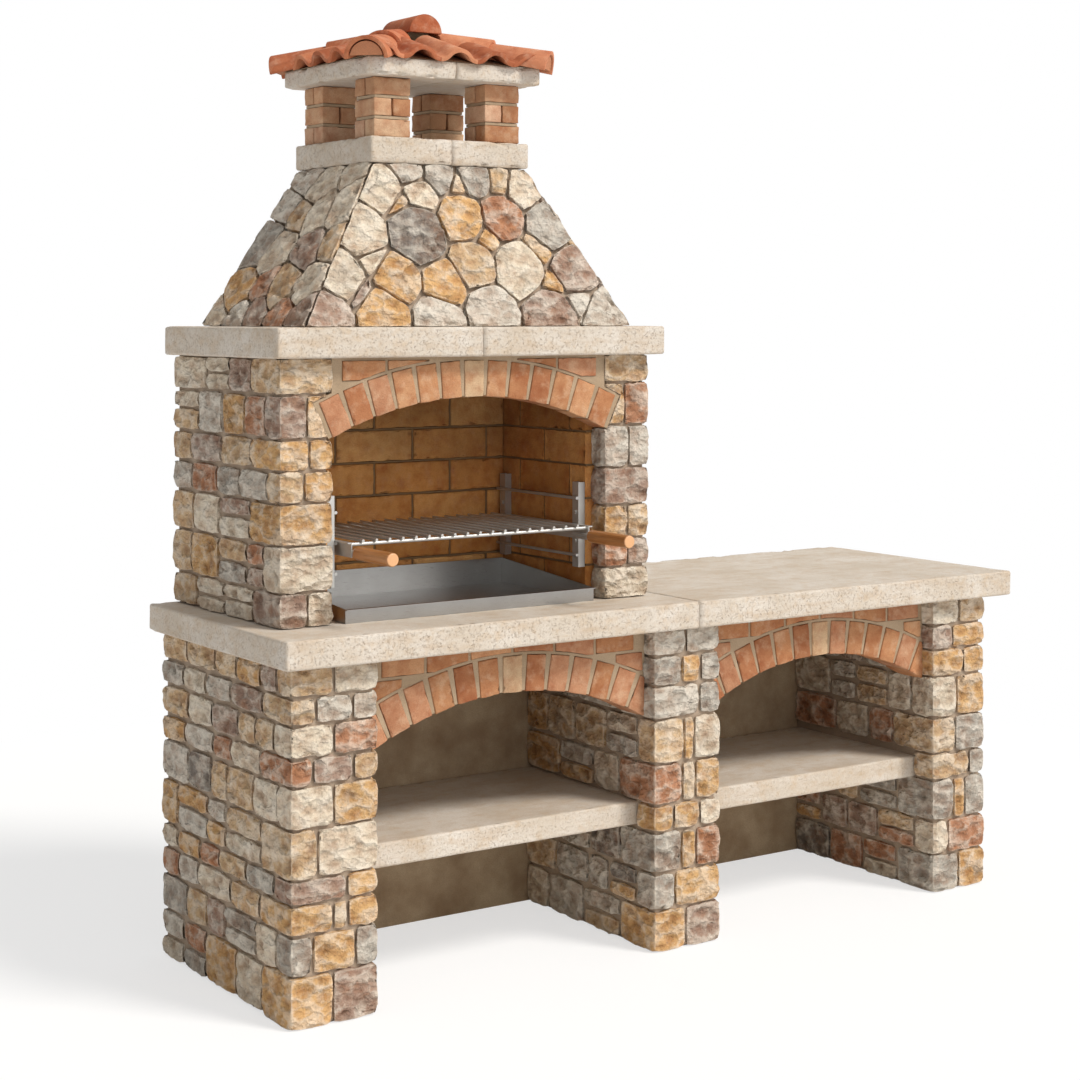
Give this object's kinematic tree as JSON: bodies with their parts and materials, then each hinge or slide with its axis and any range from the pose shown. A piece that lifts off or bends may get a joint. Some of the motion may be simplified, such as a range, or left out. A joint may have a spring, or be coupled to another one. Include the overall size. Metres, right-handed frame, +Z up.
{
  "type": "masonry barbecue",
  "caption": "Stone-faced masonry barbecue with arched storage bays, cast-stone worktop, brick-lined firebox with sliding grill and fire tray, and a hooded chimney under a tiled roof.",
  "frame": {"origin": "on the floor, under the middle of the worktop in length and depth", "axes": "+Z up, -Y to the open front, +X along the worktop from the firebox to the free end"},
  "size_m": [2.33, 0.784, 2.411],
  "materials": {
    "masonry_core": "rough cast and rendered",
    "facing_stone": "split rock face",
    "cast_stone": "honed, pitted",
    "mortar": "rough",
    "brick": "rough fired",
    "keystone": "rough fired",
    "firebrick": "sooted",
    "clay_tile": "rough fired",
    "steel": "brushed",
    "dark_steel": "zinc plated, dull",
    "grip_wood": "varnished"
  },
  "bodies": {
    "masonry": {"cap_slabs": "cast_stone", "chimney_bricks": "brick", "chimney_joints": "mortar", "collar_slabs": "cast_stone", "fire_arch_bricks": "brick", "fire_arch_keystone": "keystone", "fire_arch_mortar": "mortar", "fire_arch_spandrel": "brick", "firebox_back_wall": "masonry_core", "firebox_left_stones": "facing_stone", "firebox_left_wall": "masonry_core", "firebox_right_stones": "facing_stone", "firebox_right_wall": "masonry_core", "hip_mortar": "mortar", "hip_tiles": "clay_tile", "hood_back_panel": "masonry_core", "hood_back_stones": "facing_stone", "hood_front_panel": "masonry_core", "hood_front_stones": "facing_stone", "hood_left_panel": "masonry_core", "hood_left_stones": "facing_stone", "hood_right_panel": "masonry_core", "hood_right_stones": "facing_stone", "left_arch_bricks": "brick", "left_arch_keystone": "keystone", "left_arch_mortar": "mortar", "left_arch_spandrel": "brick", "left_bay_back": "masonry_core", "left_pier_core": "masonry_core", "left_pier_stones": "facing_stone", "left_shelf": "cast_stone", "lining_back": "firebrick", "lining_left": "firebrick", "lining_mortar": "mortar", "lining_right": "firebrick", "mantle_slabs": "cast_stone", "middle_pier_core": "masonry_core", "middle_pier_stones": "facing_stone", "rack_anchors": "dark_steel", "rack_rods": "dark_steel", "rack_uprights": "dark_steel", "ridge_cap": "clay_tile", "right_arch_bricks": "brick", "right_arch_keystone": "keystone", "right_arch_mortar": "mortar", "right_arch_spandrel": "brick", "right_bay_back": "masonry_core", "right_pier_core": "masonry_core", "right_pier_stones": "facing_stone", "right_shelf": "cast_stone", "roof_bed": "mortar", "roof_tiles": "clay_tile", "worktop_left": "cast_stone", "worktop_right": "cast_stone"},
    "grill": {"grill_rails": "dark_steel", "grill_cross_rods": "steel", "grill_bars": "steel", "handle_rods": "steel", "handle_grips": "grip_wood"},
    "tray": {"fire_tray": "steel"}
  },
  "joints": [
    {"name": "grill_slide", "type": "slide", "parent": "masonry", "child": "grill", "axis": [0, -1, 0], "range_m": [0, 0.25]},
    {"name": "tray_slide", "type": "slide", "parent": "masonry", "child": "tray", "axis": [0, -1, 0], "range_m": [0, 0.35]}
  ]
}
